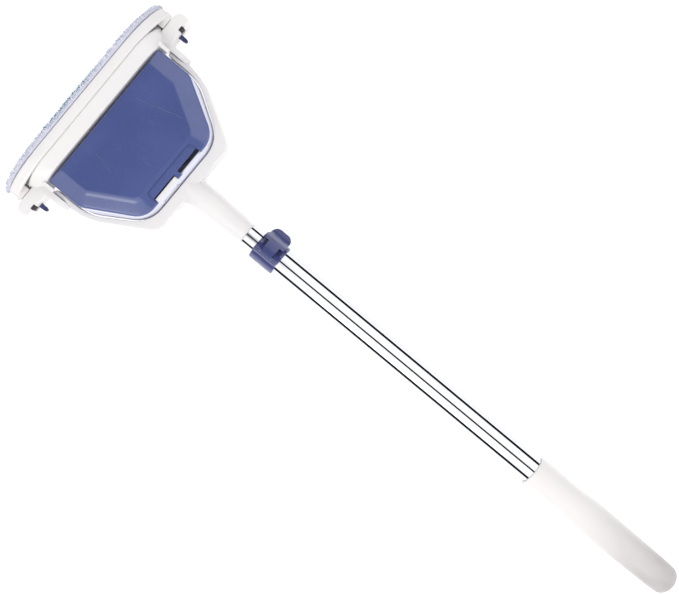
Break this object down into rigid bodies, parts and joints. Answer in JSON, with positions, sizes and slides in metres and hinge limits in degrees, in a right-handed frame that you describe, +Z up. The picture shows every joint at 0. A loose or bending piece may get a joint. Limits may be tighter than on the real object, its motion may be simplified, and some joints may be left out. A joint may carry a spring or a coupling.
{
  "type": "telescopic scrub brush",
  "caption": "Hand-held telescopic scrub brush with a wide soft pad on a tilting, lidded head, a forked stem and a flip-clamped steel pole.",
  "frame": {"origin": "centre of the bounding box's underside, below the pole's axis midway between the grip's end and the pad's face", "axes": "+Y along the pole from the grip to the pad, +X across the head, +Z up on the lid's side, with the brush lying on the long edge of its pad"},
  "size_m": [0.23, 0.696, 0.064],
  "materials": {
    "polished_steel": "polished stainless tube",
    "plated_steel": "zinc plated",
    "white_plastic": "satin moulded plastic",
    "grip_plastic": "fine matt grip",
    "blue_plastic": "satin slate blue",
    "dark_plastic": "satin dark blue",
    "nylon": "moulded grey nylon",
    "pad_fabric": "looped pile with a darker band",
    "hook_tape": "moulded hook tape"
  },
  "bodies": {
    "handle": {"outer_tube": "polished_steel", "grip": "grip_plastic", "tube_plug": "nylon", "clamp_collar": "blue_plastic", "clamp_liner": "nylon", "lever_pin": "plated_steel"},
    "lever": {"clamp_lever": "blue_plastic"},
    "guide": {"guide_ring": "nylon"},
    "stem": {"inner_tube": "polished_steel", "tail_plug": "nylon", "fork_upper": "white_plastic", "fork_lower": "white_plastic", "neck_rivet": "plated_steel", "pivot_pin_left": "plated_steel", "pivot_pin_right": "plated_steel", "fork_screw_1": "plated_steel", "fork_screw_2": "plated_steel", "fork_screw_3": "plated_steel", "fork_screw_4": "plated_steel"},
    "head": {"rail_housing": "white_plastic", "tray": "white_plastic", "carrier_plate": "white_plastic", "hook_strip_top": "hook_tape", "hook_strip_bottom": "hook_tape", "scrub_pad": "pad_fabric", "lid_pin_left": "plated_steel", "lid_pin_right": "plated_steel", "latch_spring_left": "plated_steel", "latch_spring_right": "plated_steel", "tray_screw_1": "plated_steel", "tray_screw_2": "plated_steel", "tray_screw_3": "plated_steel", "tray_screw_4": "plated_steel"},
    "latch_left": {"latch_left": "dark_plastic"},
    "latch_right": {"latch_right": "dark_plastic"},
    "lid": {"lid": "blue_plastic", "catch_spring": "plated_steel"},
    "catch": {"lid_catch": "white_plastic"}
  },
  "joints": [
    {"name": "lever_flip", "type": "hinge", "parent": "handle", "child": "lever", "pos_m": [-0.0038, 0.1255, 0.05], "axis": [0, -1, 0], "range_deg": [0, 110]},
    {"name": "pole_extend", "type": "slide", "parent": "handle", "child": "guide", "axis": [0, 1, 0], "range_m": [0, 0.35]},
    {"name": "pole_twist", "type": "hinge", "parent": "guide", "child": "stem", "pos_m": [0, 0, 0.032], "axis": [0, 1, 0], "continuous": true},
    {"name": "head_tilt", "type": "hinge", "parent": "stem", "child": "head", "pos_m": [0, 0.3025, 0.032], "axis": [-1, 0, 0], "range_deg": [-72, 72]},
    {"name": "latch_left_slide", "type": "slide", "parent": "head", "child": "latch_left", "axis": [-1, 0, 0], "range_m": [0, 0.005], "stiffness_N_per_m": 300, "springref_m": -0.002, "deforming": ["latch_spring_left"]},
    {"name": "latch_right_slide", "type": "slide", "parent": "head", "child": "latch_right", "axis": [1, 0, 0], "range_m": [0, 0.005], "stiffness_N_per_m": 300, "springref_m": -0.002, "deforming": ["latch_spring_right"]},
    {"name": "lid_hinge", "type": "hinge", "parent": "head", "child": "lid", "pos_m": [0, 0.3095, 0.049], "axis": [-1, 0, 0], "range_deg": [0, 75]},
    {"name": "catch_slide", "type": "slide", "parent": "lid", "child": "catch", "axis": [0, 1, 0], "range_m": [0, 0.0025], "stiffness_N_per_m": 200, "springref_m": -0.002, "deforming": ["catch_spring"]}
  ]
}
